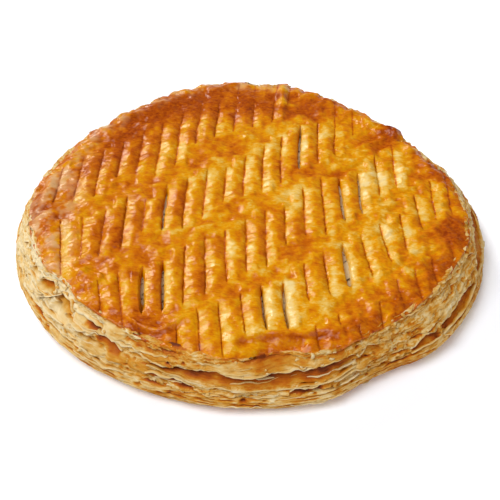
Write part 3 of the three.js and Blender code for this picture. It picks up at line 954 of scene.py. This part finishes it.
# The skin shrank into a curl at the near left.
curl = np.hypot(x + 85, y + 66) + 1.2 * swell(flat, 6, 108)
height += 1.2 * ridge(curl, 6, 1.3)
# Beside it the edge stands up in a wave.
wave = y + 102 - 0.035 * (x + 47) ** 2
wave_span = stretch(x, -60, -35, 4)
height += wave_span * (1.6 * ridge(wave, 0, 1.3) - 1.2 * ridge(wave, -3.2, 1.6))
# The edge is rolled, most of all at the far side, and uneven.
rolled = ridge(out, 0.93, 0.045) * (0.8 + 0.6 * swell(flat, 26, 100))
height += 1.7 * rolled * (0.3 + 0.7 * at_back) * (1 - 0.4 * marks["scored"])
at_rim = smooth(0.84, 0.95, out)
height += at_rim * (1.1 * swell(flat, 16, 77) + 0.5 * swell(flat, 6, 80))
slit_depth = np.clip(0.1 + 0.8 * swell(flat, 4, 78), 0, 1.4)
height -= slit_depth * marks["slit"] * rim_fade + OPEN_DEPTH * marks["gape"]
lid_points[:, 2] = np.minimum(height, LID_TOP)
for step, (outward, drop) in enumerate(LIP):
    at = turn_down == step
    lid_points[at, 0] += outward * np.cos(bearing[at])
    lid_points[at, 1] += outward * np.sin(bearing[at])
    lid_points[at, 2] -= drop

# How far it is baked, with painted light and shade added further down: blotches all over, then the
# rim, the far side, and the left and right.
toast_and_painted_light = 0.47 + 0.14 * swell(flat, 24, 81) + 0.12 * swell(flat, 8, 82)
toast_and_painted_light += 0.14 * swell(flat, 3.2, 84)
toast_and_painted_light += 0.22 * (1 - 0.9 * at_back) * smooth(0.8, 0.98, out + 0.06 * swell(flat, 16, 83))
inside = 1 - smooth(0.78, 0.95, out)
toast_and_painted_light += 0.3 * smooth(30, 90, y - 0.35 * x) * (0.4 + 0.6 * inside) * smooth(0.5, 0.75, out)
toast_and_painted_light += 0.15 * smooth(40, 80, -x) * inside * (1 - smooth(0, 40, y))
toast_and_painted_light -= 0.15 * smooth(30, 75, x) * (1 - smooth(0.8, 0.95, out)) * (1 - smooth(20, 80, y))
# The bands between the rows are paler on the crests of their folds and darker between them: egg that
# pooled there, and painted light and shade on the folds.
toast_and_painted_light += unscored * (0.09 - 0.14 * folded - 0.06 * fine_folds)
# A darker ring runs inside the rolled edge of the far side.
turn = np.degrees(bearing)
ring = stretch(turn, 98, 150, 7) + 0.3 * stretch(turn, 55, 78, 6) + 0.5 * stretch(turn, 32, 46, 6)
ring_place = 0.85 + 0.03 * swell(flat, 20, 102)
toast_and_painted_light += 0.22 * ring * ridge(out, ring_place, 0.05)
# The outermost far rim is painted paler, as the sheen of its rolled edge.
toast_and_painted_light -= 0.08 * at_back * smooth(0.9, 0.95, out)
toast_and_painted_light += 0.22 * smooth(0.91, 0.96, out) * smooth(10, 45, x) * smooth(0, 25, y)
toast_and_painted_light += 0.3 * over_step * (1 - smooth(0, 2.5, np.abs(y - step_line + 0.6)))
# Each finger has its own tone. Its left flank is paler and its right flank darker: egg-wash browning
# together with painted sheen and shade of the light from the left. The groove is darker where egg
# pooled, with painted shade in it too.
lit_flanks_and_browning = 0.22 * rim_fade * (smooth(0.25, 0.7, marks["across"]) - 0.5)
toast_and_painted_light += (shade[finger] + lit_flanks_and_browning) * marks["scored"]
toast_and_painted_light += 0.14 * marks["groove"] ** 2 - 0.07
# Painted shadow in the dip below the wave, and a painted highlight along its crest.
toast_and_painted_light += wave_span * (0.25 * ridge(wave, -3, 1.8) - 0.25 * ridge(wave, -0.3, 0.8))
for spot_x, spot_y, size, change in TONES:
    toast_and_painted_light += change * (1 - smooth(0.3, 1, np.hypot(x - spot_x, y - spot_y) / size))
toast_and_painted_light -= 0.11 * marks["pale"] + 0.3 * marks["gape"]
toast_and_painted_light += marks["slit"] * (0.18 + 0.45 * np.clip(0.4 + swell(flat, 3, 109), 0, 1))
# Only the nub at the far right is burnt; elsewhere the darkest tones are held back.
toast_and_painted_light = np.where(toast_and_painted_light > 0.72, 0.72 + 0.14 * np.tanh((toast_and_painted_light - 0.72) / 0.14), toast_and_painted_light)
burnt = 1 - smooth(0.1, 1, np.hypot(x - 89, y - 75) / 9 + 0.4 * swell(flat, 3, 110))
toast_and_painted_light += 0.25 * burnt
set_vertices(lid_mesh, lid_points)
add_value(lid_mesh, "toast_and_painted_light", toast_and_painted_light)
add_value(lid_mesh, "flaky", 1)
# At the left and on the rolled far rim a pinkish-tan painted sheen is mixed into the glaze colour, in
# patches.
far_rim = 0.8 * at_back * smooth(0.87, 0.93, out) * (1 - smooth(-20, 40, x))
patchy = 0.3 + 0.8 * swell(flat * [1, 0.5, 0], 6, 105) + 0.8 * swell(flat, 2, 106)
painted_sheen = np.maximum(smooth(88, 112, -x), far_rim) * np.clip(patchy, 0, 1)
add_value(lid_mesh, "painted_sheen", 0.8 * painted_sheen * (1 - 0.6 * smooth(0.5, 0.8, toast_and_painted_light)))

glaze_stops = [(0.0, 246, 218, 150), (0.2, 238, 190, 84), (0.36, 230, 158, 0), (0.54, 217, 128, 0),
               (0.7, 201, 103, 0), (0.85, 174, 76, 0), (1.0, 134, 46, 0)]
glaze = baked_dough(
    "egg_glaze", glaze_stops, grain=0.5, relief=0.35, grain_size=(2.2, 2.2, 2.2),
    wrinkle_size=(2.2, 1.1, 2.2), wrinkle_height=0.3, fineness=1.5,
    roughness=0.7, gloss=0.46, sheen=0.14)
nodes = glaze.node_tree.nodes
links = glaze.node_tree.links
egg = nodes["Principled BSDF"]
egg.inputs["Specular IOR Level"].default_value = 0
# Mixes the pinkish-tan painted sheen into the glaze colour.
sheen_mix = nodes.new("ShaderNodeMix")
sheen_mix.data_type = "RGBA"
sheen_layer = nodes.new("ShaderNodeAttribute")
sheen_layer.attribute_name = "painted_sheen"
links.new(sheen_layer.outputs["Fac"], sheen_mix.inputs["Factor"])
links.new(nodes["Color Ramp"].outputs["Color"], sheen_mix.inputs["A"])
sheen_mix.inputs["B"].default_value = colour(232, 188, 136)
links.new(sheen_mix.outputs["Result"], egg.inputs["Base Color"])
lid_piece = put_on_cake("glazed_lid", lid_mesh, glaze)
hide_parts("pastry")


# ---- The studio ----
# A plain white floor and soft light from above and from the far left, with a pale reflector at
# the near right, in a dim room.

floor = bmesh.new()
bmesh.ops.create_grid(floor, x_segments=1, y_segments=1, size=6)
floor_mesh = mesh_of("studio_floor", floor)
white = bpy.data.materials.new("white_floor")
white.use_nodes = True
paint = white.node_tree.nodes["Principled BSDF"]
paint.inputs["Base Color"].default_value = (0.88, 0.9, 0.96, 1)
paint.inputs["Roughness"].default_value = 0.8
paint.inputs["Emission Color"].default_value = (1, 1, 1, 1)
paint.inputs["Emission Strength"].default_value = 0.13
floor_mesh.materials.append(white)
floor_piece = bpy.data.objects.new("studio_floor", floor_mesh)
show(floor_piece)

room = bpy.data.worlds.new("studio_room")
room.use_nodes = True
air = room.node_tree.nodes["Background"]
air.inputs["Color"].default_value = (1, 1, 1, 1)
air.inputs["Strength"].default_value = 0.18
bpy.context.scene.world = room


def soft_light(name, direction, strength, width, tint):
    """Light from a far, large softbox: where it stands, and how wide it looks in degrees."""
    light = bpy.data.lights.new(name, "SUN")
    light.energy = strength
    light.angle = math.radians(width)
    light.color = tint
    lamp = bpy.data.objects.new(name, light)
    lamp.location = Vector(direction)
    lamp.rotation_euler = (-Vector(direction)).to_track_quat("-Z", "Y").to_euler()
    show(lamp)


soft_light("left_softbox", (-0.5, 0.66, 0.56), 1.4, 18, (1, 0.96, 0.87))
soft_light("top_softbox", (-0.4, -0.24, 0.87), 2.52, 46, (1, 1, 1))
soft_light("right_reflector", (0.7, -0.6, 0.4), 0.68, 50, (1, 0.95, 0.87))

# The camera stands at the near side, well above the floor.
CAMERA_ABOVE = math.radians(39.7)
CAMERA_PITCH = math.radians(39.7 + 1.44)
CAMERA_ROLL = math.radians(1.0)
CAMERA_AWAY = 0.7
TARGET = Vector((0, 0, 0.02))
camera = bpy.data.objects.new("camera", bpy.data.cameras.new("camera"))
camera.data.sensor_width = 36
camera.data.lens = 87.8
camera.data.clip_start = 0.01
backwards = Vector((0, -math.cos(CAMERA_ABOVE), math.sin(CAMERA_ABOVE)))
camera.location = TARGET + CAMERA_AWAY * backwards
aim = Matrix.Rotation(math.pi / 2 - CAMERA_PITCH, 4, "X") @ Matrix.Rotation(CAMERA_ROLL, 4, "Z")
camera.rotation_euler = aim.to_euler()
show(camera)
bpy.context.scene.camera = camera
bpy.context.scene.view_settings.view_transform = "Standard"
